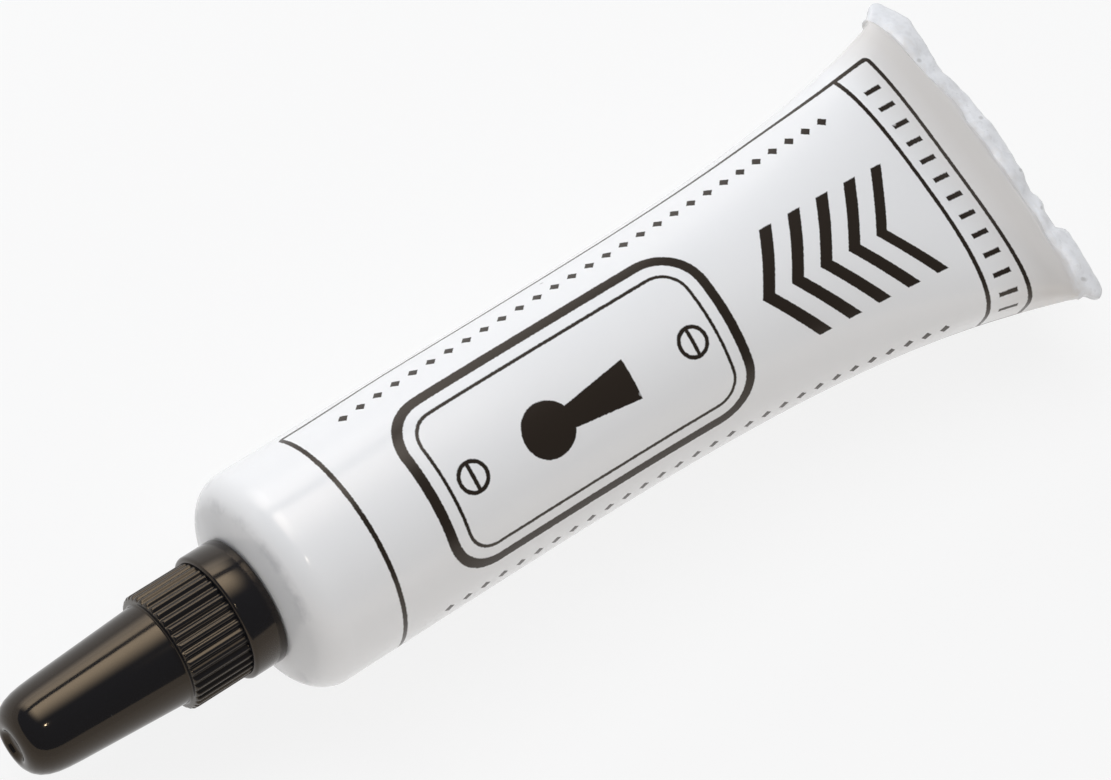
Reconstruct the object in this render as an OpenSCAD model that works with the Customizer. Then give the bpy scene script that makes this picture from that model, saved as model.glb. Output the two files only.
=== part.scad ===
// Squeeze tube of dry graphite lubricant, lying on its side.
// The axis runs along X with the cap at -X, the sealed tail at +X, and +Z up.

/* [Sleeve] */
// Outside diameter of the round end of the sleeve
sleeve_d = 16; // [14:0.5:20]
// Wall thickness of the sleeve
sleeve_wall = 0.45; // [0.35:0.05:0.6]
// From the front face of the shoulder to the crease of the tail seal
sleeve_len = 64.2; // [56:0.2:76]
// From the front face of the shoulder to the end of the straight round barrel
barrel_len = 9.2; // [8:0.2:14]
// How late the sleeve starts to flatten towards the tail
flatten_power = 3.9; // [3:0.1:5]
// How blunt the side view of the tail is
tail_bluntness = 1.7; // [1.4:0.1:2]
// How far the soft underside is pressed flat behind the barrel, where the tube lies on a table
rest_sag = 0.2; // [0.1:0.05:0.3]

/* [Tail seal] */
// Length of the crimped band
seal_len = 2.2; // [1.6:0.1:4]
// Thickness of the crimped band
seal_t = 0.8; // [0.6:0.05:0.9]
// Flash squeezed out past the sleeve at each corner of the band
ear_w = 0.9; // [0.2:0.1:1.5]

/* [Head] */
// Radius of the shoulder's outer edge
shoulder_round = 3; // [2:0.1:3.6]
// Wall thickness of the shoulder
shoulder_wall = 0.9; // [0.6:0.1:1.2]
// Length of the skirt that is welded inside the sleeve
skirt_len = 3; // [2:0.2:4]
// Wall thickness of the skirt
skirt_wall = 0.6; // [0.4:0.1:0.8]
// Gap left for the weld between the skirt and the sleeve
weld_gap = 0.02; // [0.01:0.01:0.05]
// Wall thickness of the neck and the nozzle round the channel
neck_wall = 0.7; // [0.5:0.05:0.8]
// Diameter of the outlet
outlet_d = 1.2; // [0.8:0.1:1.4]
// Length of the straight outlet
outlet_len = 3; // [2:0.2:5]
// Wall thickness of the nozzle round the outlet
outlet_wall = 0.6; // [0.4:0.05:0.8]

/* [Thread] */
// Axial travel in one turn
thread_pitch = 1.4; // [1.2:0.1:1.6]
// Height of the ridge on the neck and of the one in the cap
thread_h = 0.45; // [0.3:0.05:0.5]
// Radial play between a ridge and the wall that it faces
thread_play = 0.12; // [0.08:0.02:0.16]

/* [Cap] */
// Diameter of the smooth collar at the mouth
collar_d = 9.2; // [9:0.1:10]
// Length of the collar
collar_len = 2.3; // [1.8:0.1:3]
// Diameter over the fluted grip
grip_d = 8.5; // [8.3:0.1:8.9]
// Length of the fluted grip
grip_len = 4.4; // [4:0.1:5.5]
// Number of flutes round the grip
flute_count = 40; // [30:1:48]
// Width of a flute
flute_w = 0.5; // [0.3:0.05:0.55]
// Depth of a flute
flute_depth = 0.2; // [0.1:0.05:0.25]
// Wall thickness of the grip behind its flutes
grip_wall = 0.68; // [0.5:0.04:0.8]
// Thickness of the ledge that presses on the liner
ledge_t = 0.8; // [0.5:0.1:1.2]
// Diameter of the nose where it leaves the grip
nose_d = 7.15; // [6.8:0.05:7.5]
// Diameter that the nose tapers to at its tip
nose_tip_d = 6; // [5.6:0.1:6.4]
// Length of the nose
nose_len = 11.3; // [10:0.1:14]
// Wall thickness of the nose at its foot
nose_wall = 1.1; // [0.8:0.05:1.2]
// Wall thickness of the nose behind its dimple
tip_wall = 1.2; // [0.8:0.1:1.6]
// Radius of the nose's outer edge at the tip
tip_round = 1.5; // [1:0.1:1.5]
// Diameter of the dimple in the tip
dimple_d = 2.7; // [2:0.1:2.8]
// Depth of the dimple
dimple_depth = 0.4; // [0.2:0.1:0.6]
// Radius of the front edges of the collar and the grip
edge_round = 0.3; // [0.15:0.05:0.35]
// Gap between the mouth and the shoulder when screwed home
mouth_gap = 0.1; // [0.05:0.05:0.3]
// Gap round the nozzle inside the nose
nozzle_gap = 0.35; // [0.25:0.05:0.4]
// Gap round the stopper pin in the outlet
pin_gap = 0.1; // [0.05:0.05:0.15]
// How far the stopper pin reaches into the outlet
pin_reach = 1; // [0.5:0.1:2]

/* [Liner] */
// Thickness of the sealing ring between the neck and the cap
liner_t = 0.6; // [0.4:0.1:0.8]
// Running gap between the ring and the pieces that it lies between
liner_gap = 0.06; // [0.04:0.01:0.1]

/* [Powder] */
// Height of the powder's surface above the lowest point inside the sleeve
powder_h = 10; // [5:0.5:12]
// Gap between the powder and the pieces that hold it
powder_gap = 0.08; // [0.04:0.02:0.2]

/* [Hidden] */
$fn = 96;

// Along the axis, from the front face of the shoulder towards the tip of the cap
grip_z = mouth_gap + collar_len;
nose_z = grip_z + grip_len;
cap_end = nose_z + nose_len;
ledge_z = nose_z - ledge_t;
liner_z = ledge_z - liner_gap - liner_t;
neck_len = liner_z - liner_gap;
cavity_end = cap_end - dimple_depth - tip_wall;
nozzle_end = cavity_end - nozzle_gap;
skirt_end = shoulder_round + skirt_len;

// The shoulder's front face lies where it centres the whole tube on the origin
shoulder_x = (cap_end - sleeve_len - seal_len) / 2;

// Radii, from the outside inwards
sleeve_r = sleeve_d / 2;
bore_r = sleeve_r - sleeve_wall;
grip_r = grip_d / 2;
nose_r = nose_d / 2;
nose_tip_r = nose_tip_d / 2;
cap_bore_r = grip_r - flute_depth - grip_wall;
neck_r = cap_bore_r - thread_play - thread_h;
cavity_r = nose_r - nose_wall;
nozzle_r = cavity_r - nozzle_gap;
channel_r = nozzle_r - neck_wall;
outlet_r = outlet_d / 2;
nozzle_tip_r = outlet_r + outlet_wall;
cavity_tip_r = nozzle_tip_r + nozzle_gap;
pin_r = outlet_r - pin_gap;

// Solids that are joined or cut reach this far into each other
lap = 0.2;

// The flattened part of the sleeve: its facets stay a little inside the round barrel
facet_inset = 0.02;
section_sides = 56;
section_count = 22;
seal_steps = 4;
// How square the cross-section gets at the seal: 2 is an ellipse
seal_squareness = 5;
// The thinnest that the hollow gets where it ends at the crease
crease_gap = 0.04;
// The powder stops where it would get thinner than this
powder_least = 1;

// Ridges of the thread; the one in the cap lies half a pitch in front of the one on the neck
helix_steps = 36;
ridge_foot_w = 0.5 * thread_pitch;
ridge_crest_w = 0.2 * thread_pitch;
ridge_margin = 0.4 * thread_pitch;
ridge_fade = 50;
ridge_least = 0.05;
neck_ridge_z = 0.6 * thread_pitch;
cap_ridge_z = neck_ridge_z + 0.5 * thread_pitch;
neck_turns = (neck_len - neck_ridge_z - ridge_margin) / thread_pitch;
cap_turns = (liner_z - cap_ridge_z - ridge_margin) / thread_pitch;

// Half width of an ellipse of half height b whose girth is that of a circle of radius r
function girth_half_width(b, r) =
    let (d = 2 * r, m = 6 * d - 8 * b)
    (m + sqrt(m * m - 24 * (6 * b * b - 6 * d * b + d * d))) / 12;

// How far the sleeve has flattened at the distance t behind the shoulder: 0 is round, 1 is the crease
function flat_share(t) = min(1, max(0, (t - barrel_len) / (sleeve_len - barrel_len)));
function half_height(t) =
    seal_t / 2 + (sleeve_r - seal_t / 2) * pow(1 - pow(flat_share(t), flatten_power), 1 / tail_bluntness);
function ear(t) = ear_w * pow(max(0, (t - sleeve_len) / seal_len), 2);
function half_width(t) = girth_half_width(half_height(t), sleeve_r) + ear(t);
function squareness(t) = 2 + (seal_squareness - 2) * pow(flat_share(t), 10);
function sag(t) = rest_sag * sin(180 * flat_share(t));

// Points of the sleeve's cross-section at t, drawn in by inset
function section(t, inset) =
    let (a = half_width(t) - inset,
         b = max(crease_gap / 2, half_height(t) - inset),
         e = 2 / squareness(t))
    [for (i = [0 : section_sides - 1])
        let (f = 360 * i / section_sides, c = cos(f), s = sin(f))
        [shoulder_x + t,
         a * sign(c) * pow(abs(c), e),
         sleeve_r + max(sag(t) - b, b * sign(s) * pow(abs(s), e))]];

// Places along the sleeve, closer together where it flattens faster
function stations(start) =
    [for (i = [0 : section_count]) start + (sleeve_len - start) * sin(90 * i / section_count)];

// Closed skin over a row of rings with the same number of points each
module skin(rings) {
    n = len(rings[0]);
    last = len(rings) - 1;
    sides = [for (j = [0 : last - 1], i = [0 : n - 1], half = [0, 1])
        let (p = j * n + i, q = j * n + (i + 1) % n)
        half == 0 ? [p, p + n, q] : [q, p + n, q + n]];
    front = [for (i = [0 : n - 1]) i];
    back = [for (i = [n - 1 : -1 : 0]) last * n + i];
    polyhedron([for (r = rings) each r], concat(sides, [front, back]), convexity = 6);
}

// Local frame on the tube's axis: z starts at the shoulder's front face and runs to the tip
module on_axis() {
    translate([shoulder_x, 0, sleeve_r]) rotate([0, -90, 0]) children();
}

// Helical ridge that stands out from radius r to r + h, or inwards for a negative h
module ridge(r, h, z, turns) {
    steps = round(helix_steps * turns);
    foot_r = r - sign(h) * lap;
    rings = [for (i = [0 : steps])
        let (f = 360 * turns * i / steps,
             fade = min(1, ridge_least + min(f, 360 * turns - f) / ridge_fade),
             crest_r = r + h * fade,
             ridge_z = z + thread_pitch * f / 360,
             profile = [[foot_r, -ridge_foot_w / 2], [crest_r, -ridge_crest_w / 2],
                        [crest_r, ridge_crest_w / 2], [foot_r, ridge_foot_w / 2]])
        [for (k = [0 : 3])
            let (p = profile[h > 0 ? 3 - k : k])
            [p[0] * cos(f), p[0] * sin(f), ridge_z + p[1]]]];
    skin(rings);
}

// Half outline of a disc of thickness h whose front edge is rounded; its front face lies on y = 0
module rounded_disc(r, edge, h) {
    if (h > edge) translate([0, -h]) square([r, h - edge]);
    translate([0, -edge]) square([r - edge, edge]);
    translate([r - edge, -edge]) intersection() {
        circle(edge);
        square(edge);
    }
}

// The sleeve is a straight round barrel that goes over into a flattening skin
module tube_sleeve() {
    outer = concat(
        [for (t = stations(barrel_len)) section(t, facet_inset)],
        [for (i = [1 : seal_steps]) section(sleeve_len + seal_len * i / seal_steps, facet_inset)]);
    inner = [for (t = stations(barrel_len)) section(t, sleeve_wall + facet_inset)];
    color("white") difference() {
        union() {
            on_axis() translate([0, 0, -barrel_len]) cylinder(r = sleeve_r, h = barrel_len - shoulder_round);
            skin(concat([[for (p = outer[0]) p - [lap, 0, 0]]], outer));
        }
        on_axis() translate([0, 0, -barrel_len]) cylinder(r = bore_r, h = barrel_len);
        skin(concat([[for (p = inner[0]) p - [lap, 0, 0]]], inner));
    }
}

// Shoulder, neck and nozzle in one moulding, with its skirt inside the sleeve
module tube_head() {
    skirt_r = bore_r - weld_gap;
    color("whitesmoke") on_axis() {
        rotate_extrude() difference() {
            union() {
                rounded_disc(sleeve_r, shoulder_round, shoulder_round);
                translate([0, -skirt_end]) square([skirt_r, skirt_len + lap]);
                square([neck_r, neck_len]);
                polygon([[0, neck_len - lap], [nozzle_r, neck_len - lap], [nozzle_r, neck_len],
                         [nozzle_tip_r, nozzle_end], [0, nozzle_end]]);
            }
            translate([0, -shoulder_wall])
                rounded_disc(skirt_r - skirt_wall, shoulder_round - shoulder_wall, skirt_end);
            polygon([[0, -shoulder_wall - lap], [channel_r, -shoulder_wall - lap],
                     [channel_r, neck_len], [outlet_r, nozzle_end - outlet_len],
                     [outlet_r, nozzle_end + lap], [0, nozzle_end + lap]]);
        }
        ridge(neck_r, thread_h, neck_ridge_z, neck_turns);
    }
}

// Loose powder, settled with a level surface as the tube lies
module graphite_powder() {
    wall = sleeve_wall + facet_inset + powder_gap;
    rings = [for (t = stations(skirt_end + powder_gap)) if (half_height(t) > wall + powder_least / 2)
        section(t, wall)];
    color("dimgray") intersection() {
        skin(rings);
        translate([shoulder_x, -sleeve_d, 0]) cube([sleeve_len, 2 * sleeve_d, sleeve_wall + powder_h]);
    }
}

// Soft ring that the ledge of the cap presses on the rim of the neck
module cap_liner() {
    color("gainsboro") on_axis() translate([0, 0, liner_z]) difference() {
        cylinder(r = cap_bore_r - liner_gap, h = liner_t);
        translate([0, 0, -lap]) cylinder(r = nozzle_r + nozzle_gap / 2, h = liner_t + 2 * lap);
    }
}

// One flute, cut along the grip
module flute() {
    flute_r = (flute_w * flute_w / 4 + flute_depth * flute_depth) / (2 * flute_depth);
    translate([grip_r - flute_depth + flute_r, 0, grip_z]) cylinder(r = flute_r, h = grip_len + lap);
}

// Collar, fluted grip and hollow nose in one moulding, with a stopper pin for the outlet
module screw_cap() {
    color([0.06, 0.055, 0.05]) on_axis() {
        difference() {
            rotate_extrude() difference() {
                union() {
                    translate([0, grip_z]) rounded_disc(collar_d / 2, edge_round, collar_len);
                    translate([0, nose_z]) rounded_disc(grip_r, edge_round, grip_len);
                    polygon([[0, nose_z - lap], [nose_r, nose_z - lap], [nose_r, nose_z],
                             [nose_tip_r, cap_end - tip_round], [0, cap_end - tip_round]]);
                    translate([0, cap_end]) rounded_disc(nose_tip_r, tip_round, tip_round);
                }
                square([cap_bore_r, ledge_z]);
                polygon([[0, ledge_z - lap], [cavity_r, ledge_z - lap], [cavity_r, ledge_z],
                         [cavity_tip_r, cavity_end], [0, cavity_end]]);
                translate([0, cap_end - dimple_depth]) square([dimple_d / 2, dimple_depth + lap]);
            }
            for (i = [0 : flute_count - 1]) rotate(360 * i / flute_count) flute();
        }
        ridge(cap_bore_r, -thread_h, cap_ridge_z, cap_turns);
        translate([0, 0, nozzle_end - pin_reach])
            cylinder(r = pin_r, h = cavity_end - nozzle_end + pin_reach + lap);
    }
}

tube_sleeve();
tube_head();
graphite_powder();
cap_liner();
screw_cap();
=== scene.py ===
import math

import bmesh
import bpy
import numpy as np
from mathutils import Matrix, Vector, noise


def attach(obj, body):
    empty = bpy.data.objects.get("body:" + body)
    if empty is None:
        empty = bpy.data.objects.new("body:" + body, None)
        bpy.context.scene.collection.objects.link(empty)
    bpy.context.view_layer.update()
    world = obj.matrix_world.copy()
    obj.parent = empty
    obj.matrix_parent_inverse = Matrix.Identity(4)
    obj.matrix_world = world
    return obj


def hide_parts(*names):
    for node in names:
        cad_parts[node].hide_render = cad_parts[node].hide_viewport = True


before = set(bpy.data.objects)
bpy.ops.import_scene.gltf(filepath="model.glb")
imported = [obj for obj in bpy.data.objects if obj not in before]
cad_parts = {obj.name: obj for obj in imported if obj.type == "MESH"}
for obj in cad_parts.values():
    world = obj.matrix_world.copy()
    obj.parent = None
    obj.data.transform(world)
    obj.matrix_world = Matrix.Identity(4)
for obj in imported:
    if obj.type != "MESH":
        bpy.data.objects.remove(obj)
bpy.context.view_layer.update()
print("frame loaded:", ", ".join(sorted(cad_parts)))

mm = 0.001
fullTurn = 2 * math.pi
axis = {"x": -24.15, "z": 8.0}  # mm, where the tube's axis meets the shoulder's front face
axisPoint = Vector((axis["x"], 0, axis["z"])) * mm
weld = 0.002 * mm  # points closer than this are one point
joinWeld = 0.008 * mm  # the same, where two solids were joined
tiny = 1e-6  # mm, stands for a radius of 0
sortPoint = Vector((31.7, 17.3, 41.9)) * mm  # off every plane of symmetry


# editing by hand

def deselectAll():
    bpy.ops.object.select_all(action="DESELECT")


def openEdit():
    bpy.ops.object.mode_set(mode="EDIT")
    bpy.ops.mesh.select_all(action="SELECT")


def closeEdit():
    bpy.ops.object.mode_set(mode="OBJECT")


def nameActive(name):
    piece = bpy.context.object
    piece.name = piece.data.name = name
    return piece


def applyPlace():
    bpy.ops.object.transform_apply(location=True, rotation=True, scale=True)


def onAxis(r, z):  # r mm off the axis, z mm from the shoulder towards the tip of the cap
    return Vector((axis["x"] - z, 0, axis["z"] + r)) * mm


def drawOutline(name, points):  # half section of a turned piece, left open in edit mode
    deselectAll()
    bpy.ops.mesh.primitive_plane_add(size=mm, location=(0, 0, 0))
    piece = nameActive(name)
    openEdit()
    bpy.ops.mesh.merge(type="CENTER")
    bpy.ops.transform.translate(value=onAxis(*points[0]))
    for here, there in zip(points, points[1:]):
        step = onAxis(*there) - onAxis(*here)
        bpy.ops.mesh.extrude_vertices_move(TRANSFORM_OT_translate={"value": step})
    bpy.ops.mesh.select_all(action="SELECT")
    bpy.ops.mesh.remove_doubles(threshold=weld)
    return piece


def roundCorner(piece, r, z, size, segments):
    bpy.ops.mesh.select_all(action="DESELECT")
    chain = bmesh.from_edit_mesh(piece.data)
    corner = min(chain.verts, key=lambda vert: (vert.co - onAxis(r, z)).length)
    corner.select_set(True)
    bmesh.update_edit_mesh(piece.data)
    bpy.ops.mesh.bevel(offset=size * mm, segments=segments, affect="VERTICES")


def drawRounded(name, shape):
    piece = drawOutline(name, shape["outline"])
    for corner in shape["rounds"]:
        roundCorner(piece, *corner)
    return piece


def turnOutline(steps, degrees=360.0, copies=False):
    bpy.ops.mesh.select_all(action="SELECT")
    bpy.ops.mesh.spin(steps=steps, angle=math.radians(degrees), dupli=copies,
                      center=axisPoint, axis=(1, 0, 0))


def extrudeRings(name, stops, columns, r):  # a plain tube with one ring of points at each stop
    deselectAll()
    bpy.ops.mesh.primitive_circle_add(vertices=columns, radius=r * mm, rotation=(0, math.pi / 2, 0),
                                      location=((axis["x"] + stops[0]) * mm, 0, axis["z"] * mm))
    piece = nameActive(name)
    applyPlace()
    openEdit()
    for last, this in zip(stops, stops[1:]):
        bpy.ops.mesh.extrude_edges_move(TRANSFORM_OT_translate={"value": ((this - last) * mm, 0, 0)})
    closeEdit()
    return piece


def columnOrder(ring):  # each point's number in its ring, counted from underneath
    around = np.arctan2(-ring[:, 1], axis["z"] - ring[:, 2]) % fullTurn
    around[around > fullTurn - 1e-4] -= fullTurn
    return np.argsort(np.argsort(around))


def sortMesh():  # the same order of points and faces in each run
    bpy.context.scene.cursor.location = sortPoint
    bpy.ops.mesh.sort_elements(type="CURSOR_DISTANCE", elements={"VERT", "EDGE", "FACE"})
    bpy.context.scene.cursor.location = (0, 0, 0)


def closeShell():
    bpy.ops.mesh.select_all(action="SELECT")
    bpy.ops.mesh.remove_doubles(threshold=weld)
    bpy.ops.mesh.normals_make_consistent(inside=False)
    sortMesh()
    closeEdit()


def smoothFaces(piece, degrees):
    deselectAll()
    piece.select_set(True)
    bpy.context.view_layer.objects.active = piece
    bpy.ops.object.shade_smooth_by_angle(angle=math.radians(degrees))


def joinSolid(piece, other):
    deselectAll()
    bpy.context.view_layer.objects.active = piece
    union = piece.modifiers.new("join", "BOOLEAN")
    union.operation, union.solver, union.object = "UNION", "EXACT", other
    bpy.ops.object.modifier_apply(modifier="join")
    bpy.data.objects.remove(other)
    openEdit()  # the seam is cleared of slivers
    sortMesh()
    bpy.ops.mesh.remove_doubles(threshold=joinWeld)
    bpy.ops.mesh.dissolve_degenerate(threshold=joinWeld)
    bpy.ops.mesh.select_all(action="DESELECT")
    bpy.ops.mesh.select_face_by_sides(number=4, type="GREATER")
    bpy.ops.mesh.quads_convert_to_tris(quad_method="BEAUTY", ngon_method="BEAUTY")
    closeEdit()


def readPoints(piece):  # in mm
    points = np.empty(len(piece.data.vertices) * 3)
    piece.data.vertices.foreach_get("co", points)
    return points.reshape(-1, 3) / mm


def writePoints(piece, points):
    piece.data.vertices.foreach_set("co", (points * mm).ravel())
    piece.data.update()


def radiusOf(points):  # distance from the axis
    return np.maximum(np.hypot(points[:, 1], points[:, 2] - axis["z"]), tiny)


def setRadius(points, wanted):
    across = points[:, 1:] - (0, axis["z"])
    points[:, 1:] = across * (wanted / radiusOf(points))[:, None] + (0, axis["z"])


def ease(value):  # 0 to 1 with soft ends
    value = np.clip(value, 0, 1)
    return value * value * (3 - 2 * value)


# thread ridges on the neck and in the cap

thread = {"pitch": 1.4, "height": 0.45, "foot": 0.7, "crest": 0.28, "lap": 0.2, "corners": 4,
          "stepsPerTurn": 40, "fade": 50.0, "least": 0.05}  # mm; the crest fades in over so many degrees


def threadRidge(name, wallR, side, start, turns):  # side 1 stands out from the wall, -1 inwards
    footR, crestR = wallR - side * thread["lap"], wallR + side * thread["height"]
    foot, crest = thread["foot"] / 2, thread["crest"] / 2
    ridge = drawOutline(name, [(footR, start - foot), (crestR, start - crest), (crestR, start + crest),
                               (footR, start + foot), (footR, start - foot)])
    closeEdit()
    bpy.context.scene.cursor.location = axisPoint
    bpy.ops.object.origin_set(type="ORIGIN_CURSOR")
    bpy.context.scene.cursor.location = (0, 0, 0)
    screw = ridge.modifiers.new("wind", "SCREW")
    screw.axis = "X"
    screw.angle, screw.screw_offset = -fullTurn * turns, -thread["pitch"] * turns * mm
    screw.steps = screw.render_steps = round(thread["stepsPerTurn"] * turns)
    bpy.ops.object.modifier_apply(modifier="wind")
    applyPlace()
    # the crest runs out at both ends
    points = readPoints(ridge)
    radius = radiusOf(points)
    turned = np.arange(len(points)) // thread["corners"] * 360 / thread["stepsPerTurn"]
    toEnd = np.minimum(turned, turned.max() - turned)
    share = np.clip(thread["least"] + toEnd / thread["fade"], 0, 1)
    isCrest = np.abs(radius - crestR) < thread["height"] / 4
    setRadius(points, np.where(isCrest, wallR + side * thread["height"] * share, radius))
    writePoints(ridge, points)
    openEdit()
    bpy.ops.mesh.fill_holes(sides=0)
    closeShell()
    return ridge


# tube sleeve: a ring extruded from the tail up the inside, round the front rim and back outside

sleeve = {
    "r": 8.0, "wall": 0.45, "front": 3.0, "barrel": 9.2, "crease": 64.2,
    "flattenPower": 3.9, "bluntness": 1.7, "squareness": 5.0, "squarePower": 10, "soften": 0.9,
    "sealHalf": 0.4, "least": 0.01, "restSag": 0.2, "sideShift": -0.9,
    "columns": 192, "girthSteps": 6001, "softenSteps": 11, "smooth": 50,
    "innerRings": 22, "innerGap": 0.1, "barrelStops": (4.5, 6.0, 7.5), "outerRings": 50, "bandRings": 12,
    "print": {"stretch": 0.065, "from": 8.0, "rise": 9.0, "to": 58.0, "fall": 11.0, "inkless": 200.0},
    "tail": {
        "length": 1.5, "swell": 0.6, "swellPower": 1.5, "edgePower": 6,
        "bow": 0.85, "bowFrom": 60.0, "bowBack": 0.1,
        "ear": 0.8, "earFrom": 0.35, "earRise": 0.7, "earShare": 0.82, "earRound": 0.6,
        "wide": 0.3, "wideFar": 0.55, "wideFrom": 3.0, "wideRise": 9.0, "wideAt": 0.2, "wideReach": 0.9,
        "wander": 0.5, "wanderNoise": (0.42, 3.7), "ragged": 0.05, "raggedNoise": (1.7, 8.2),
        "wave": 0.2, "waves": ((1.0, 0.66, 2.0), (0.5, 1.53, -1.0)), "waveFrom": -0.8, "waveRise": 1.2,
        "lumps": ((0.12, 1.3), (0.07, 1.7)), "lumpFrom": -0.5, "lumpRise": 0.8,
        "edge": ((-12.5, 0.22), (-12.0, 0.25), (-11.1, 0.15), (-10.1, 0.13), (-8.9, 0.24), (-8.2, 0.27),
                 (-7.75, 0.2), (-7.45, -0.42), (-6.6, -0.5), (-6.0, -0.44), (-5.4, -0.12), (-4.8, -0.18),
                 (-4.2, -0.42), (-3.0, -0.26), (-1.9, -0.24), (-0.7, -0.04), (1.0, 0.03), (2.8, 0.02),
                 (3.9, 0.12), (5.2, -0.13), (6.3, -0.4), (7.5, -0.22), (8.7, -0.04), (9.9, 0.1),
                 (10.9, 0.43), (11.6, 0.12), (12.4, -0.25)),  # place across, how far the torn edge stands out
    },
}  # mm; places along it lie behind the shoulder's front face, and the near side is -Y
tail = sleeve["tail"]


def flatShare(t):  # 0 where the tube is round, 1 at the crease of the seal
    return np.clip((t - sleeve["barrel"]) / (sleeve["crease"] - sleeve["barrel"]), 0, 1)


def halfHeight(t):
    left = 1 - flatShare(t) ** sleeve["flattenPower"]
    return sleeve["sealHalf"] + (sleeve["r"] - sleeve["sealHalf"]) * left ** (1 / sleeve["bluntness"])


def softHeight(t):  # the fall to the crease is rounded off
    return np.mean(halfHeight(t + sleeve["soften"] * np.linspace(-1, 1, sleeve["softenSteps"])))


def halfWidth(b):  # of an ellipse of half height b with the girth of the round tube
    d = 2 * sleeve["r"]
    m = 6 * d - 8 * b
    return (m + np.sqrt(m * m - 24 * (6 * b * b - 6 * d * b + d * d))) / 12


def sectionRing(t, inset, thin=1.0, columns=sleeve["columns"]):  # even steps of the girth, from underneath
    k = flatShare(t)
    a, b = halfWidth(halfHeight(t)) - inset, max(softHeight(t) - inset, sleeve["least"]) * thin
    power = 2 / (2 + (sleeve["squareness"] - 2) * k ** sleeve["squarePower"])
    f = np.linspace(0, fullTurn, sleeve["girthSteps"])
    y = -a * np.sign(np.sin(f)) * np.abs(np.sin(f)) ** power
    z = -b * np.sign(np.cos(f)) * np.abs(np.cos(f)) ** power
    z = np.maximum(z, sleeve["restSag"] * math.sin(math.pi * k) - b)
    way = np.concatenate([[0], np.cumsum(np.hypot(np.diff(y), np.diff(z)))])
    stops = np.arange(columns) / columns * way[-1]
    y, z = np.interp(stops, way, y), np.interp(stops, way, z)
    if thin == 0:  # a ring that is pressed shut has no single point left at its two ends
        y = np.clip(y, *np.sort(y)[[1, -2]])
    return np.stack([np.full(columns, axis["x"] + t), y, axis["z"] + z], 1)


def sinkStops(start, end, count):  # places along the tube, closer together towards the tail
    return [start + (end - start) * math.sin(math.pi / 2 * i / count) for i in range(count + 1)]


def bandThin(u):  # the crimped band swells and then rounds off to its torn edge
    swollen = 1 + tail["swell"] * math.sin(math.pi * u) ** tail["swellPower"]
    return swollen * math.sqrt(max(0.0, 1 - u ** tail["edgePower"]))


def tearEdge(points, t):  # pulls a ring of the tail into its uneven, melted shape
    y = points[:, 1]
    past = t - sleeve["crease"]
    across = np.clip(y / halfWidth(halfHeight(t)), -1, 1)
    u = min(max(past / tail["length"], 0), 1)

    def noiseAcross(scale, row):
        return np.array([noise.noise(Vector((c * scale, row, 0))) for c in y])

    # along: the bowed and torn edge, and a crease that wanders
    pull = ease((t - tail["bowFrom"]) / (sleeve["crease"] - tail["bowFrom"]))
    torn = np.interp(y, *np.transpose(tail["edge"])) + tail["ragged"] * noiseAcross(*tail["raggedNoise"])
    shift = pull * (tail["bow"] * (1 - across ** 2) - tail["bowBack"]) + u * torn
    wide = tail["wide"] + tail["wideFar"] * ease((y - tail["wideFrom"]) / tail["wideRise"])
    wide = wide + tail["wander"] * noiseAcross(*tail["wanderNoise"])
    nearCrease = math.exp(-((past - tail["wideAt"]) / tail["wideReach"]) ** 2)
    # across: an ear of flash at either end, rounded at its tip
    ear = tail["ear"] * ease((past - tail["earFrom"]) / tail["earRise"])
    tip = tail["earRound"] * (1 - math.sqrt(1 - max(0.0, 2 * u - 1) ** 2))
    flash = np.sign(y) * (ear - tip) * ease((np.abs(across) - tail["earShare"]) / (1 - tail["earShare"]))
    # up and down: waves and melted lumps
    wave = sum(size * np.sin(y * rate + start) for size, rate, start in tail["waves"])
    wave = wave * tail["wave"] * ease((past - tail["waveFrom"]) / tail["waveRise"])
    lumps = np.array([sum(size * noise.noise(Vector(p) * scale) for size, scale in tail["lumps"])
                      for p in points])
    points[:, 0] += shift - nearCrease * wide
    points[:, 1] += flash + sleeve["sideShift"] * flatShare(t) ** 2
    points[:, 2] += wave + lumps * ease((past - tail["lumpFrom"]) / tail["lumpRise"])
    return points


columns = sleeve["columns"]
inner = sinkStops(sleeve["front"], sleeve["crease"] - sleeve["innerGap"], sleeve["innerRings"])[::-1]
outer = [sleeve["front"], *sleeve["barrelStops"]]
outer += sinkStops(sleeve["barrel"], sleeve["crease"], sleeve["outerRings"])
band = [sleeve["crease"] + tail["length"] * i / sleeve["bandRings"]
        for i in range(1, sleeve["bandRings"] + 1)]
rings = [(t, sleeve["wall"], 1.0 if i else 0.0) for i, t in enumerate(inner)]  # place, inset, thinning
rings += [(t, 0.0, 1.0) for t in outer]
rings += [(t, 0.0, bandThin((t - sleeve["crease"]) / tail["length"])) for t in band]
tubeSleeve = extrudeRings("tube-sleeve", [ring[0] for ring in rings], columns, sleeve["r"])

# every ring takes its own section
points = readPoints(tubeSleeve).reshape(len(rings), columns, 3)
place = np.empty((len(rings), columns, 2))  # where a point lies on the print: mm along, column round
for j, (t, inset, thin) in enumerate(rings):
    order = columnOrder(points[j])
    points[j] = tearEdge(sectionRing(t, inset, thin), t)[order]
    place[j, :, 0] = t - sleeve["print"]["inkless"] * (j < len(inner))
    place[j, :, 1] = order
points[:, :, 2] = np.maximum(points[:, :, 2], 0)
writePoints(tubeSleeve, points.reshape(-1, 3))


def printPlace(t, column):  # mm along and mm round from the top line, with the far side drawn in a little
    stretch = sleeve["print"]
    fromTop = (column / columns - 0.5) * fullTurn * sleeve["r"]
    share = ease((t - stretch["from"]) / stretch["rise"]) * ease((stretch["to"] - t) / stretch["fall"])
    return t, fromTop * (1 - stretch["stretch"] * (fromTop > 0) * share)


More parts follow.
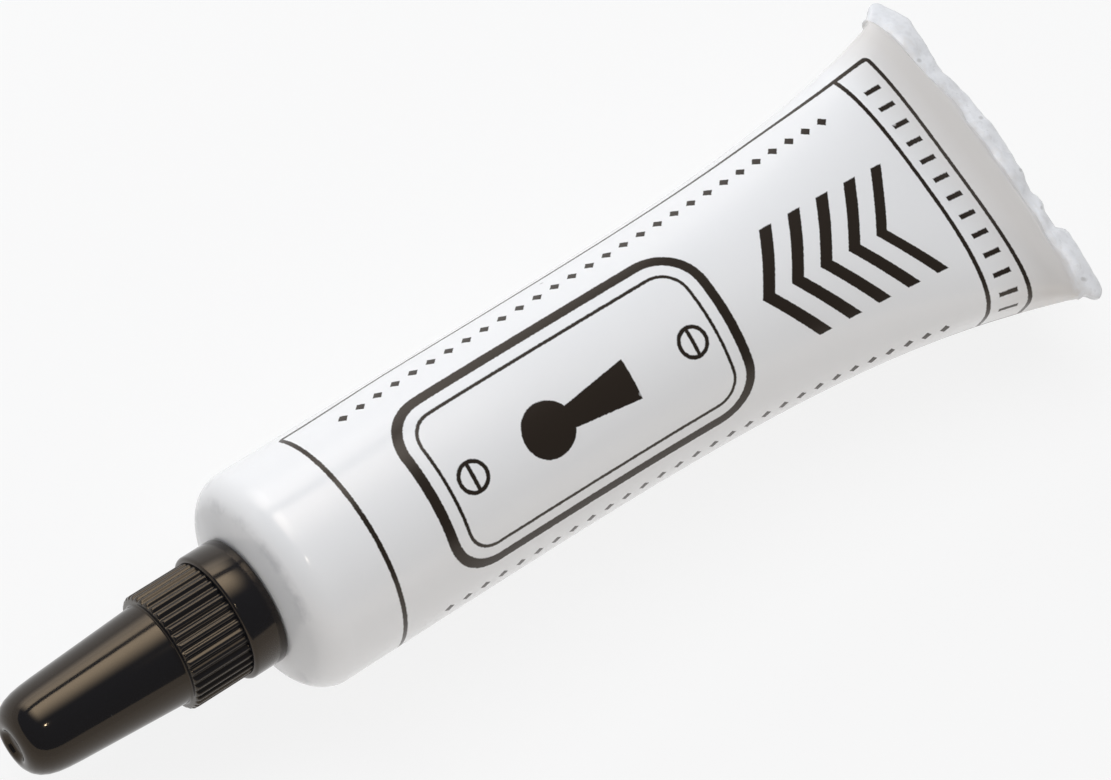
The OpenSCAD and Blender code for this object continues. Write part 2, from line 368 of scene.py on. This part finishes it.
printMap = tubeSleeve.data.uv_layers.new(name="printMap")
place = place.reshape(-1, 2)
for face in tubeSleeve.data.polygons:
    corners = [place[tubeSleeve.data.loops[i].vertex_index] for i in face.loop_indices]
    isSeam = np.ptp([column for t, column in corners]) > columns / 2
    for i, (t, column) in zip(face.loop_indices, corners):
        printMap.data[i].uv = printPlace(t, column + columns * (isSeam and column < columns / 2))
openEdit()
closeShell()
smoothFaces(tubeSleeve, sleeve["smooth"])
print("sleeve:", len(tubeSleeve.data.polygons), "faces")


# tube head: shoulder, neck and nozzle turned from one outline, with the thread joined on

head = {
    "steps": 192, "neckR": 2.8, "threadStart": 0.84, "turns": 2.77, "smooth": 35,
    "outline": [(6.93, -6.0), (7.53, -6.0), (7.53, -3.0), (8.0, -3.0), (8.0, -1.3), (4.6, -0.3), (2.8, -0.3),
                (2.8, 5.28), (2.125, 5.28), (1.2, 16.15), (0.6, 16.15), (0.6, 13.15), (1.425, 5.28),
                (1.425, -0.9), (6.93, -0.9), (6.93, -6.0)],
    "rounds": [(8.0, -1.3, 1.68, 14), (4.6, -0.3, 0.3, 3), (2.8, -0.3, 0.3, 4), (2.8, 5.28, 0.18, 3),
               (2.125, 5.28, 0.15, 3), (1.2, 16.15, 0.3, 4), (0.6, 16.15, 0.12, 2), (1.425, -0.9, 0.4, 4),
               (6.93, -0.9, 2.1, 8)],
}  # mm; outline as radius and place, rounds as corner, size and segments

tubeHead = drawRounded("tube-head", head)
turnOutline(head["steps"])
closeShell()
joinSolid(tubeHead, threadRidge("neck-thread", head["neckR"], 1, head["threadStart"], head["turns"]))
smoothFaces(tubeHead, head["smooth"])
print("head:", len(tubeHead.data.polygons), "faces")


# screw cap: one flute's sector of the outline, copied round the axis

cap = {
    "flutes": 40, "flutePoints": 10, "fluteDepth": 0.2, "ridgeWidth": 1.25, "smooth": 40,
    "gripR": 4.25, "gripFrom": 2.4, "gripFootR": 3.9, "slack": 0.02,
    "boreR": 3.37, "threadStart": 1.54, "turns": 2.3,
    "outline": [(0.0, 17.85), (0.45, 17.85), (0.95, 17.95), (1.2, 18.3), (1.42, 18.35), (1.83, 18.27),
                (2.2, 18.05), (2.52, 17.7), (2.78, 17.2), (2.96, 16.6), (3.07, 15.9), (3.15, 15.0),
                (3.65, 6.8), (4.25, 6.8), (4.25, 6.3), (4.25, 5.0), (4.25, 3.6), (4.25, 2.55), (4.25, 2.4),
                (4.6, 2.4), (4.6, -0.2), (3.37, -0.2), (3.37, 6.0), (2.475, 6.0), (1.55, 16.5), (0.5, 16.5),
                (0.5, 15.15), (0.0, 15.15)],
    "rounds": [(1.2, 18.3, 0.1, 3), (0.95, 17.95, 0.12, 3), (3.65, 6.8, 0.15, 3), (4.25, 6.8, 0.3, 5),
               (4.6, 2.4, 0.3, 5), (4.6, -0.2, 0.15, 3), (3.37, -0.2, 0.2, 2), (0.5, 15.15, 0.15, 3)],
}
sector = 360 / cap["flutes"]

screwCap = drawRounded("screw-cap", cap)
bpy.ops.mesh.select_all(action="SELECT")
bpy.ops.transform.rotate(value=math.radians(sector / 2), orient_axis="X", center_override=axisPoint)
turnOutline(cap["flutePoints"], sector)
closeEdit()

# the flute is pressed into the grip of this one sector
points = readPoints(screwCap)
radius = radiusOf(points)
angle = np.degrees(np.arctan2(points[:, 1], points[:, 2] - axis["z"]))
groove = (0.5 + 0.5 * np.cos(fullTurn * angle / sector)) ** cap["ridgeWidth"]
isGrip = axis["x"] - points[:, 0] > cap["gripFrom"] - cap["slack"]
isGrip &= (radius > cap["gripFootR"]) & (radius < cap["gripR"] + cap["slack"])
fluted = np.minimum(radius, cap["gripR"] - cap["fluteDepth"] * groove)
setRadius(points, np.where(isGrip, fluted, radius))
writePoints(screwCap, points)

openEdit()
turnOutline(cap["flutes"] - 1, 360 - sector, copies=True)
closeShell()
joinSolid(screwCap, threadRidge("cap-thread", cap["boreR"], -1, cap["threadStart"], cap["turns"]))
smoothFaces(screwCap, cap["smooth"])
print("cap:", len(screwCap.data.polygons), "faces")


# liner: a soft ring with the mark of the neck's rim pressed into it

liner = {
    "steps": 96, "smooth": 40,
    "outline": [(2.3, 5.34), (2.75, 5.34), (2.8, 5.4), (3.0, 5.4), (3.05, 5.34), (3.31, 5.34), (3.31, 5.94),
                (2.3, 5.94), (2.3, 5.34)],
    "rounds": [(3.31, 5.34, 0.1, 3), (3.31, 5.94, 0.1, 3), (2.3, 5.94, 0.1, 3), (2.3, 5.34, 0.1, 3)],
}

capLiner = drawRounded("cap-liner", liner)
turnOutline(liner["steps"])
closeShell()
smoothFaces(capLiner, liner["smooth"])
print("liner:", len(capLiner.data.polygons), "faces")


# graphite powder: a bed that follows the inside of the sleeve, with a loose lumpy surface

powder = {"from": 6.1, "to": 63.4, "inset": 0.56, "level": 10.4, "columns": 96, "rings": 60, "smooth": 60,
          "heap": 0.45, "heapScale": 0.25, "heapRow": 5.0, "heapFractal": (0.8, 2.0, 4)}

length = powder["to"] - powder["from"]
stops = [powder["from"] + length * i / powder["rings"] for i in range(powder["rings"] + 1)]
graphite = extrudeRings("graphite-powder", stops, powder["columns"], sleeve["r"])
points = readPoints(graphite).reshape(len(stops), powder["columns"], 3)
for j, t in enumerate(stops):
    ring = sectionRing(t, powder["inset"], columns=powder["columns"])
    ring[:, 1] += sleeve["sideShift"] * flatShare(t) ** 2
    spots = [Vector((x * powder["heapScale"], y * powder["heapScale"], powder["heapRow"]))
             for x, y, z in ring]
    heap = np.array([noise.fractal(spot, *powder["heapFractal"]) for spot in spots])
    surface = powder["level"] - powder["heap"] * (0.5 + 0.5 * np.clip(heap, -1, 1))
    ring[:, 2] = np.minimum(ring[:, 2], surface)
    points[j] = ring[columnOrder(points[j])]
writePoints(graphite, points.reshape(-1, 3))
openEdit()
bpy.ops.mesh.fill_holes(sides=0)
closeShell()
smoothFaces(graphite, powder["smooth"])
print("powder:", len(graphite.data.polygons), "faces")


# shader helpers

noiseSpan = (0.3, 0.7)  # where most of a noise texture's values lie


def plug(tree, socket, value):
    if isinstance(value, bpy.types.NodeSocket):
        tree.links.new(value, socket)
    else:
        socket.default_value = value


def addNode(tree, kind, links=None, **settings):
    node = tree.nodes.new("ShaderNode" + kind)
    for name, value in settings.items():
        setattr(node, name, value)
    for name, value in (links or {}).items():
        plug(tree, node.inputs[name], value)
    return node


def calc(tree, operation, *values):
    return addNode(tree, "Math", dict(enumerate(values)), operation=operation).outputs[0]


def fold(tree, operation, values):  # one operation over any number of values
    result = values[0]
    for other in values[1:]:
        result = calc(tree, operation, result, other)
    return result


def vectors(tree, operation, *values):
    return addNode(tree, "VectorMath", dict(enumerate(values)), operation=operation).outputs


def mixColour(tree, factor, first, second):
    return addNode(tree, "Mix", {0: factor, 6: first, 7: second}, data_type="RGBA").outputs[2]


def stain(tree, colour, mask, share, other):  # a share of another colour, where the mask is
    return mixColour(tree, calc(tree, "MULTIPLY", mask, share), colour, other)


def spread(tree, value, low, high, outLow=0.0, outHigh=1.0):
    return addNode(tree, "MapRange", {0: value, 1: low, 2: high, 3: outLow, 4: outHigh}).outputs[0]


def noiseAt(tree, place, scale, detail):
    return addNode(tree, "TexNoise", {"Vector": place, "Scale": scale, "Detail": detail}).outputs[0]


def cellsAt(tree, place, scale):
    return addNode(tree, "TexVoronoi", {"Vector": place, "Scale": scale}).outputs


def objectPlace(tree):
    return addNode(tree, "TexCoord").outputs["Object"]


def splitPlace(tree, place):
    return addNode(tree, "SeparateXYZ", {0: place}).outputs


def startGroup(name, inputs, outputs):
    tree = bpy.data.node_groups.new(name, "ShaderNodeTree")
    for side, sockets in (("INPUT", inputs), ("OUTPUT", outputs)):
        for label, kind in sockets.items():
            tree.interface.new_socket(label, in_out=side, socket_type="NodeSocket" + kind)
    return tree, tree.nodes.new("NodeGroupInput").outputs, tree.nodes.new("NodeGroupOutput").inputs


def useGroup(tree, group, links):
    return addNode(tree, "Group", links, node_tree=group).outputs


def startMaterial(name):
    material = bpy.data.materials.new(name)
    material.use_nodes = True
    return material, material.node_tree, material.node_tree.nodes["Principled BSDF"].inputs


def addBump(tree, shader, strength, depth, height):
    bump = addNode(tree, "Bump", {"Strength": strength, "Distance": depth * mm, "Height": height})
    tree.links.new(bump.outputs[0], shader["Normal"])


def wear(piece, material):
    piece.data.materials.clear()
    piece.data.materials.append(material)


# moulded skin: soft orange peel, lines drawn along the axis, and slow changes of tone
moulded = {"peelDetail": 2.0, "lineSqueeze": (0.06, 1, 1), "lineScale": 1400.0, "toneScale": 110.0,
           "detail": 3.0}

skinGroup, given, out = startGroup("mouldedSkin", {"Place": "Vector", "Peel": "Float", "Drawn": "Float"},
                                   {"Height": "Float", "Tone": "Float"})
peel = noiseAt(skinGroup, given["Place"], given["Peel"], moulded["peelDetail"])
squeezed = addNode(skinGroup, "Mapping", {"Vector": given["Place"], "Scale": moulded["lineSqueeze"]})
lines = noiseAt(skinGroup, squeezed.outputs[0], moulded["lineScale"], moulded["detail"])
drawn = calc(skinGroup, "MULTIPLY", lines, given["Drawn"])
plug(skinGroup, out["Height"], calc(skinGroup, "ADD", peel, drawn))
plug(skinGroup, out["Tone"], noiseAt(skinGroup, given["Place"], moulded["toneScale"], moulded["detail"]))

# specks: dust and small scuffs in a few cells of a fine grid
speckGroup, given, out = startGroup(
    "specks", {"Place": "Vector", "Cells": "Float", "Share": "Float", "Size": "Float"}, {"Mask": "Float"})
cells = cellsAt(speckGroup, given["Place"], given["Cells"])
draw = addNode(speckGroup, "SeparateColor", {0: cells["Color"]}).outputs[0]
chosen = calc(speckGroup, "LESS_THAN", draw, given["Share"])
dot = spread(speckGroup, cells["Distance"], given["Size"], calc(speckGroup, "MULTIPLY", given["Size"], 0.5))
plug(speckGroup, out["Mask"], calc(speckGroup, "MULTIPLY", chosen, dot))

# distance to a rounded plate, below 0 inside it
plateGroup, given, out = startGroup(
    "plateDistance", {"Place": "Vector", "Middle": "Vector", "Half": "Vector", "Corner": "Float"},
    {"Distance": "Float"})
size = vectors(plateGroup, "ABSOLUTE", vectors(plateGroup, "SUBTRACT", given["Place"], given["Middle"])[0])[0]
beyond = splitPlace(plateGroup, vectors(plateGroup, "SUBTRACT", size, given["Half"])[0])
past = [calc(plateGroup, "ADD", beyond[i], given["Corner"]) for i in (0, 1)]
squares = [calc(plateGroup, "POWER", calc(plateGroup, "MAXIMUM", p, 0.0), 2.0) for p in past]
outside = calc(plateGroup, "SQRT", calc(plateGroup, "ADD", *squares))
inside = calc(plateGroup, "MINIMUM", calc(plateGroup, "MAXIMUM", *past), 0.0)
distance = calc(plateGroup, "SUBTRACT", calc(plateGroup, "ADD", outside, inside), given["Corner"])
plug(plateGroup, out["Distance"], distance)


# print on the sleeve: a ruled panel with a lock plate, arrows, a dotted border and a row of ticks

panel = {
    "middle": -2.3, "half": 11.3, "from": 7.2, "to": 59.7, "corner": 0.3, "rule": 0.36, "bandRule": 56.4,
    "plate": {"at": 24.5, "half": (12.5, 6.4), "corner": 3.2, "stroke": 0.75, "inset": 1.3, "thin": 0.25},
    "keyhole": {"at": 21.5, "r": 2.0, "slotTo": 28.6, "slot": 0.6, "flare": 0.13},
    "screw": {"at": (15.2, 33.8), "r": 1.05, "line": 0.3},
    "arrows": {"from": 40.5, "count": 5, "pitch": 2.6, "stroke": 1.1, "slope": 0.7, "half": 4.2, "back": 0.2},
    "dots": {"off": 8.9, "from": 11.0, "to": 53.0, "pitch": 1.5, "size": 0.42},
    "ticks": {"at": 58.05, "half": 0.75, "pitch": 1.5, "stroke": 0.36, "reach": 9.4},
    "soft": 0.035, "bleed": 0.02, "bleedScale": 5000.0, "bleedDetail": 2.0,
}  # mm on the sleeve: along from the shoulder's front face, round from the top line


def printDistance(tree, place):  # mm to the nearest ink, below 0 in it
    along, around = splitPlace(tree, place)[:2]

    def less(value, amount):
        return calc(tree, "SUBTRACT", value, amount)

    def size(value):
        return calc(tree, "ABSOLUTE", value)

    def within(value, middle, half):
        return less(size(less(value, middle)), half)

    def both(*distances):
        return fold(tree, "MAXIMUM", distances)

    def plate(at, half, corner):
        return useGroup(tree, plateGroup, {"Place": place, "Middle": (at, panel["middle"], 0),
                                           "Half": (*half, 0), "Corner": corner})[0]

    def disc(at, r):
        return plate(at, (r, r), r)

    def line(distance, stroke):
        return less(size(distance), stroke / 2)

    def rowOf(value, pitch):  # to the nearest place of a row
        return calc(tree, "PINGPONG", value, pitch / 2)

    off = size(less(around, panel["middle"]))
    length = (panel["to"] - panel["from"]) / 2
    frameLine = plate(panel["from"] + length, (length, panel["half"]), panel["corner"])
    marks = [line(frameLine, panel["rule"])]
    marks.append(both(within(along, panel["bandRule"], panel["rule"] / 2), less(off, panel["half"])))
    p = panel["plate"]
    marks.append(line(plate(p["at"], p["half"], p["corner"]), p["stroke"]))
    innerPlate = plate(p["at"], [h - p["inset"] for h in p["half"]], p["corner"] - p["inset"])
    marks.append(line(innerPlate, p["thin"]))
    k = panel["keyhole"]
    flare = calc(tree, "MULTIPLY", less(along, k["at"]), k["flare"])
    slotHalf = (k["slotTo"] - k["at"]) / 2
    slot = both(less(less(off, k["slot"]), flare), within(along, k["at"] + slotHalf, slotHalf))
    marks += [disc(k["at"], k["r"]), slot]
    s = panel["screw"]
    for at in s["at"]:
        marks.append(line(disc(at, s["r"]), s["line"]))
        marks.append(both(disc(at, s["r"]), within(along, at, s["line"] / 2)))
    a = panel["arrows"]
    lean = less(along, calc(tree, "MULTIPLY", off, a["slope"]))
    rowHalf = (a["count"] - 0.5) * a["pitch"] / 2
    rowMiddle = a["from"] + rowHalf - a["pitch"] / 4 - a["back"]
    arrow = less(rowOf(less(lean, a["from"]), a["pitch"]), a["stroke"] / 2)
    marks.append(both(arrow, less(off, a["half"]), within(lean, rowMiddle, rowHalf)))
    d = panel["dots"]
    dotsHalf = (d["to"] - d["from"]) / 2
    step = rowOf(less(along, d["from"]), d["pitch"])
    diamond = less(calc(tree, "ADD", step, size(less(off, d["off"]))), d["size"])
    marks.append(both(diamond, within(along, d["from"] + dotsHalf, dotsHalf + d["size"])))
    t = panel["ticks"]
    tick = less(rowOf(off, t["pitch"]), t["stroke"] / 2)
    marks.append(both(tick, within(along, t["at"], t["half"]), less(off, t["reach"])))
    return fold(tree, "MINIMUM", marks)


# white soft plastic, printed on the sleeve and a little smudged on the head

white = {
    "colour": (0.87, 0.868, 0.872, 1), "shade": (0.845, 0.842, 0.845, 1), "sheen": (1.0, 0.88, 0.76, 1),
    "rough": (0.15, 0.23), "peel": 700.0, "bump": 0.35, "bumpDepth": 0.012,
    "scuffAndPitShade": (0.32, 0.31, 0.3, 1), "scuffs": {"Cells": 420.0, "Share": 0.03, "Size": 0.08}, "scuffShare": 0.5,
}
printed = {
    "drawn": 0.5, "ink": (0.020, 0.0145, 0.011, 1), "inkRough": 0.27,
    "chips": {"Cells": 900.0, "Share": 0.03, "Size": 0.2}, "chipShare": 0.6,
    "thin": (0.71, 0.685, 0.665, 1), "tailShadeFrom": 57.0, "tailShadeTo": 61.5,  # painted shade: the tail's slope, turned away from the light, is greyed here
    "melt": (0.85, 0.858, 0.88, 1), "meltFrom": -0.8, "meltTo": 0.6, "meltWander": 0.5, "meltRough": 0.08,
    # painted shade: grey patches among the lumps of the melted band
    "lumpShade": (0.66, 0.66, 0.68, 1), "lumpNoiseScale": 1700.0, "lumpNoiseDetail": 3.0, "lumpNoise": (0.5, 0.7),
    # painted shade: dark dots for small pits in the seal band
    "lumpShadeShare": 0.4, "pitShadeR": (0.2, 0.08), "pitShadeShare": 0.45,
    "pitShade": ((64.6, 7.6), (65.2, 2.0), (65.4, -2.6), (65.2, -5.6), (64.7, -11.2)),
}
smudged = {
    "drawn": 0.0, "smudge": (0.5, 0.5, 0.52, 1), "share": 0.5, "patchScale": 420.0, "patchDetail": 4.0,
    "ridge": 0.95, "ridgeHalf": 0.35, "ridgePatches": (0.5, 0.66),
    "mark": (-22.25, 7.5, 10.0), "markR": 0.45, "markPatches": (0.35, 0.6),
}


def printMarks(tree, here, colour, rough):
    place = addNode(tree, "UVMap", uv_map="printMap").outputs[0]
    along = splitPlace(tree, place)[0]
    bleed = noiseAt(tree, here, panel["bleedScale"], panel["bleedDetail"])
    bleed = spread(tree, bleed, *noiseSpan, -panel["bleed"], panel["bleed"])
    distance = calc(tree, "ADD", printDistance(tree, place), bleed)
    chips = useGroup(tree, speckGroup, {"Place": here, **printed["chips"]})[0]
    kept = calc(tree, "SUBTRACT", 1.0, calc(tree, "MULTIPLY", chips, printed["chipShare"]))
    ink = calc(tree, "MULTIPLY", spread(tree, distance, panel["soft"], -panel["soft"]), kept)
    # painted shade on the tail's slope, where it turns away from the light
    thin = spread(tree, along, printed["tailShadeFrom"], printed["tailShadeTo"])
    colour = mixColour(tree, thin, colour, printed["thin"])
    lumpNoise = noiseAt(tree, here, printed["lumpNoiseScale"], printed["lumpNoiseDetail"])
    wander = spread(tree, lumpNoise, *noiseSpan, -printed["meltWander"], printed["meltWander"])
    melted = spread(tree, calc(tree, "ADD", along, wander), sleeve["crease"] + printed["meltFrom"],
                    sleeve["crease"] + printed["meltTo"])
    colour = mixColour(tree, melted, colour, printed["melt"])
    # painted shade among the lumps of the melted band
    lumpNoise = calc(tree, "MULTIPLY", spread(tree, lumpNoise, *printed["lumpNoise"]), melted)
    colour = stain(tree, colour, lumpNoise, printed["lumpShadeShare"], printed["lumpShade"])
    colour = mixColour(tree, ink, colour, printed["ink"])
    # painted shade in the small pits of the seal band, in the scuffs' colour
    pitShade = [spread(tree, vectors(tree, "DISTANCE", place, (*at, 0))["Value"], *printed["pitShadeR"])
            for at in printed["pitShade"]]
    colour = stain(tree, colour, fold(tree, "MAXIMUM", pitShade), printed["pitShadeShare"], white["scuffAndPitShade"])
    rough = calc(tree, "ADD", rough, calc(tree, "MULTIPLY", melted, printed["meltRough"]))
    return colour, addNode(tree, "Mix", {0: ink, 2: rough, 3: printed["inkRough"]}).outputs[0]


def handlingMarks(tree, here, colour, rough):  # along the front edge of the shoulder, and one on its far side
    behind = calc(tree, "SUBTRACT", splitPlace(tree, here)[0], (axis["x"] + smudged["ridge"]) * mm)
    onRidge = spread(tree, calc(tree, "ABSOLUTE", behind), smudged["ridgeHalf"] * mm, 0.0)
    patches = noiseAt(tree, here, smudged["patchScale"], smudged["patchDetail"])
    smudges = calc(tree, "MULTIPLY", onRidge, spread(tree, patches, *smudged["ridgePatches"]))
    off = vectors(tree, "DISTANCE", here, Vector(smudged["mark"]) * mm)["Value"]
    mark = calc(tree, "MULTIPLY", spread(tree, off, smudged["markR"] * mm, 0.0),
                spread(tree, patches, *smudged["markPatches"]))
    dirt = calc(tree, "MAXIMUM", smudges, mark)
    return stain(tree, colour, dirt, smudged["share"], smudged["smudge"]), rough


def whitePlastic(name, drawn, addMarks):
    material, tree, shader = startMaterial(name)
    here = objectPlace(tree)
    skin = useGroup(tree, skinGroup, {"Place": here, "Peel": white["peel"], "Drawn": drawn})
    scuffs = useGroup(tree, speckGroup, {"Place": here, **white["scuffs"]})[0]
    colour = mixColour(tree, skin["Tone"], white["shade"], white["colour"])
    colour = stain(tree, colour, scuffs, white["scuffShare"], white["scuffAndPitShade"])
    rough = spread(tree, skin["Tone"], *noiseSpan, *white["rough"])
    colour, rough = addMarks(tree, here, colour, rough)
    plug(tree, shader["Base Color"], colour)
    plug(tree, shader["Roughness"], rough)
    shader["Specular Tint"].default_value = white["sheen"]
    addBump(tree, shader, white["bump"], white["bumpDepth"], skin["Height"])
    return material


# black cap: glossy, with a warm reflection, light handling marks and a little dust

black = {
    "colour": (0.0085, 0.0095, 0.0125, 1), "rough": (0.07, 0.16),
    "specular": 0.46, "tint": (1.0, 0.75, 0.48, 1),
    "peel": 1100.0, "drawn": 0.4, "bump": 0.3, "bumpDepth": 0.006,
    "specks": {"Cells": 1500.0, "Share": 0.035, "Size": 0.12}, "speckShare": 0.35,
    "dust": (0.10, 0.095, 0.09, 1),
}


def blackPlastic(name):
    material, tree, shader = startMaterial(name)
    here = objectPlace(tree)
    skin = useGroup(tree, skinGroup, {"Place": here, "Peel": black["peel"], "Drawn": black["drawn"]})
    specks = useGroup(tree, speckGroup, {"Place": here, **black["specks"]})[0]
    plug(tree, shader["Base Color"], stain(tree, black["colour"], specks, black["speckShare"], black["dust"]))
    plug(tree, shader["Roughness"], spread(tree, skin["Tone"], *noiseSpan, *black["rough"]))
    shader["Specular IOR Level"].default_value = black["specular"]
    shader["Specular Tint"].default_value = black["tint"]
    addBump(tree, shader, black["bump"], black["bumpDepth"], skin["Height"])
    return material


# foamed liner, and graphite in dull clumps with a few bright flakes

foam = {"pores": 7000.0, "pore": (0.62, 0.62, 0.6, 1), "skin": (0.8, 0.8, 0.78, 1), "rough": (0.65, 0.85),
        "bump": 0.6, "bumpDepth": 0.03}
loose = {"grains": 6000.0, "clumps": 900.0, "clumpDetail": 5.0, "dark": (0.04, 0.04, 0.043, 1),
         "pale": (0.11, 0.11, 0.118, 1), "flake": (0.3, 0.3, 0.31, 1), "flakeR": (0.12, 0.05), "metal": 0.8,
         "rough": (0.75, 0.5), "bump": 0.8, "bumpDepth": 0.06}


def linerFoam(name):
    material, tree, shader = startMaterial(name)
    pores = cellsAt(tree, objectPlace(tree), foam["pores"])["Distance"]
    plug(tree, shader["Base Color"], mixColour(tree, pores, foam["pore"], foam["skin"]))
    plug(tree, shader["Roughness"], spread(tree, pores, 0.0, 1.0, *foam["rough"]))
    addBump(tree, shader, foam["bump"], foam["bumpDepth"], pores)
    return material


def graphiteDust(name):
    material, tree, shader = startMaterial(name)
    here = objectPlace(tree)
    grains = cellsAt(tree, here, loose["grains"])["Distance"]
    clumps = noiseAt(tree, here, loose["clumps"], loose["clumpDetail"])
    flakes = spread(tree, grains, *loose["flakeR"])
    colour = mixColour(tree, clumps, loose["dark"], loose["pale"])
    plug(tree, shader["Base Color"], mixColour(tree, flakes, colour, loose["flake"]))
    plug(tree, shader["Metallic"], calc(tree, "MULTIPLY", flakes, loose["metal"]))
    plug(tree, shader["Roughness"], spread(tree, clumps, *noiseSpan, *loose["rough"]))
    addBump(tree, shader, loose["bump"], loose["bumpDepth"], calc(tree, "ADD", grains, clumps))
    return material


wear(tubeSleeve, whitePlastic("printedSleeve", printed["drawn"], printMarks))
wear(tubeHead, whitePlastic("mouldedHead", smudged["drawn"], handlingMarks))
wear(screwCap, blackPlastic("blackCap"))
wear(capLiner, linerFoam("linerFoam"))
wear(graphite, graphiteDust("graphiteDust"))
print("materials:", len(bpy.data.materials))


# pieces on their bodies

for piece, body, node, slot in ((tubeSleeve, "tube", "tube_sleeve", "white_sleeve"),
                                (tubeHead, "tube", "tube_head", "white_head"),
                                (graphite, "tube", "graphite_powder", "graphite"),
                                (capLiner, "liner", "cap_liner", "liner"),
                                (screwCap, "cap", "screw_cap", "black_cap")):
    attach(piece, body)
    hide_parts(node)


# studio: a white sweep, a split softbox overhead, a top panel, a low fill card and a small lamp

sweep = {"radius": 2.0, "rise": 1.0, "sides": 96, "steps": 8, "smooth": 40, "glow": 0.84,
         "paper": (0.75, 0.75, 0.75, 1), "fibre": (0.74, 0.74, 0.74, 1), "fibreScale": 300.0,
         "fibreDetail": 3.0, "rough": 0.9, "specular": 0.1}
room = {"Strength": 0.14, "Color": (1, 1, 1, 1)}
softbox = {"distance": 0.36, "shiftX": -0.01, "long": 0.36, "flat": 0.15, "endFade": 0.3,
           "colour": (0.952, 0.971, 1.0),
           "strips": ((23.0, 0.291, 1.84, 1), (71.0, 0.227, 1.05, 0))}  # lean, width, power, fading edge
topPanel = {"place": (0.16, 0.06, 0.36), "target": (0.02, 0.0, 0.01), "size": (0.16, 0.16), "power": 0.18,
            "colour": (0.965, 0.98, 1.0)}
fillCard = {"place": (-0.12, -0.42, 0.09), "target": (-0.02, 0.0, 0.01), "size": (1.0, 0.17), "power": 1.2,
            "colour": (1.0, 0.977, 0.95)}
smallLamp = {"place": (-0.12, -0.06, 0.48), "target": (0, 0, 0), "power": 0.4, "colour": (1, 1, 1)}
smallLampR = 0.008

deselectAll()
bpy.ops.mesh.primitive_circle_add(vertices=sweep["sides"], radius=sweep["radius"], fill_type="NGON",
                                  location=(0, 0, 0))
floor = nameActive("floor")
openEdit()
bpy.ops.mesh.select_all(action="DESELECT")
bpy.ops.mesh.select_mode(type="EDGE")
bpy.ops.mesh.select_non_manifold()
arc = [math.pi / 2 * i / sweep["steps"] for i in range(sweep["steps"] + 1)]
for last, this in zip(arc, arc[1:]):
    before, after = [sweep["radius"] + sweep["rise"] * math.sin(a) for a in (last, this)]
    lift = sweep["rise"] * (math.cos(last) - math.cos(this))
    bpy.ops.mesh.extrude_edges_move(TRANSFORM_OT_translate={"value": (0, 0, lift)})
    bpy.ops.transform.resize(value=(after / before, after / before, 1), center_override=(0, 0, 0))
bpy.ops.mesh.select_mode(type="VERT")
closeEdit()
smoothFaces(floor, sweep["smooth"])

paper, tree, shader = startMaterial("floorPaper")
fibres = noiseAt(tree, objectPlace(tree), sweep["fibreScale"], sweep["fibreDetail"])
plug(tree, shader["Base Color"], mixColour(tree, fibres, sweep["fibre"], sweep["paper"]))
shader["Roughness"].default_value = sweep["rough"]
shader["Specular IOR Level"].default_value = sweep["specular"]
path = addNode(tree, "LightPath").outputs  # seen straight or in a reflection, the paper is nearly white
seen = fold(tree, "MAXIMUM", [path[ray] for ray in ("Is Camera Ray", "Is Glossy Ray", "Is Transmission Ray")])
glow = addNode(tree, "Emission", {"Color": (1, 1, 1, 1)})
mix = addNode(tree, "MixShader", {0: calc(tree, "MULTIPLY", seen, sweep["glow"]),
                                  1: tree.nodes["Principled BSDF"].outputs[0], 2: glow.outputs[0]})
plug(tree, tree.nodes["Material Output"].inputs["Surface"], mix.outputs[0])
wear(floor, paper)

air = bpy.data.worlds.new("paleRoom")
air.use_nodes = True
for name, value in room.items():
    air.node_tree.nodes["Background"].inputs[name].default_value = value
bpy.context.scene.world = air


def hangLamp(name, kind, place, target, power, colour):
    deselectAll()
    turn = (Vector(place) - Vector(target)).to_track_quat("Z", "Y").to_euler()
    bpy.ops.object.light_add(type=kind, location=place, rotation=turn)
    lamp = nameActive(name)
    lamp.data.energy, lamp.data.color = power, colour
    return lamp


def hangBox(name, place, target, size, power, colour):
    lamp = hangLamp(name, "AREA", place, target, power, colour)
    lamp.data.shape = "RECTANGLE"
    lamp.data.size, lamp.data.size_y = size
    return lamp


for lean, width, power, edge in softbox["strips"]:
    outwards = Vector((0, math.sin(math.radians(lean)), math.cos(math.radians(lean))))
    middle = Vector((softbox["shiftX"], 0, 0)) + outwards * softbox["distance"]
    strip = hangBox("softbox", middle, middle - outwards, (softbox["long"], width), power, softbox["colour"])
    strip.data.use_nodes = True
    tree = strip.data.node_tree
    along, across = splitPlace(tree, addNode(tree, "NewGeometry").outputs["Parametric"])[:2]
    sideFade = spread(tree, across, edge, 1 - edge + (2 * edge - 1) * softbox["flat"])
    toMiddle = calc(tree, "ABSOLUTE", calc(tree, "SUBTRACT", along, 0.5))
    endFade = spread(tree, toMiddle, 0.5, 0.5 - softbox["endFade"])
    for fade in (sideFade, endFade):
        fade.node.interpolation_type = "SMOOTHSTEP"
    plug(tree, tree.nodes["Emission"].inputs["Strength"], calc(tree, "MULTIPLY", sideFade, endFade))
for name, card in (("topPanel", topPanel), ("fillCard", fillCard)):
    hangBox(name, **card).visible_glossy = False  # they lift the shade without a streak on the cap
hangLamp("smallLamp", "POINT", **smallLamp).data.shadow_soft_size = smallLampR

view = {"place": (-0.117985, -0.041611, 0.285194), "turn": (20.3016, -14.5214, -36.4753), "lens": 145.815,
        "sensor": 36.0, "clip": (0.01, 20.0)}
bpy.ops.object.camera_add(location=view["place"], rotation=[math.radians(a) for a in view["turn"]])
camera = nameActive("camera")
camera.data.lens, camera.data.sensor_width = view["lens"], view["sensor"]
camera.data.clip_start, camera.data.clip_end = view["clip"]
bpy.context.scene.camera = camera
bpy.context.scene.view_settings.view_transform = "Standard"
print("studio set")
